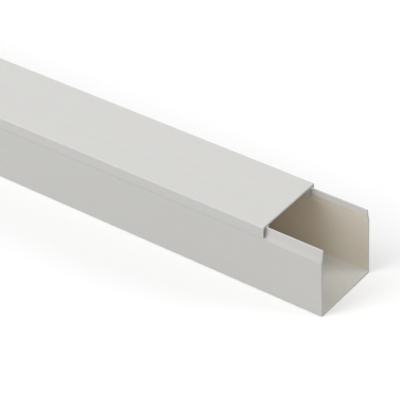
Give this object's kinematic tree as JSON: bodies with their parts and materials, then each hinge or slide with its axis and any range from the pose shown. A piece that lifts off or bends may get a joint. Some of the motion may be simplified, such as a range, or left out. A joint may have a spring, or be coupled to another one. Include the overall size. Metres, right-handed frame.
{
  "type": "cord cover raceway",
  "caption": "Square plastic cable raceway: a U-shaped wall channel and a clip-over cover that is set back from the open end and slides along it.",
  "frame": {"origin": "middle of the channel's underside, the face that lies on the wall", "axes": "+X along the stock towards the end where the cover is set back, +Y across the channel, +Z from the wall face out through the cover"},
  "size_m": [1.0317, 0.0416, 0.0397],
  "materials": {
    "channel_pvc": "satin extruded surface, sawn ends",
    "cover_pvc": "satin extruded surface, sawn ends"
  },
  "bodies": {
    "channel": {"base_channel": "channel_pvc"},
    "cover": {"snap_cover": "cover_pvc"}
  },
  "joints": [
    {"name": "cover_slide", "type": "slide", "parent": "channel", "child": "cover", "axis": [1, 0, 0], "range_m": [-0.97, 1.035]}
  ]
}
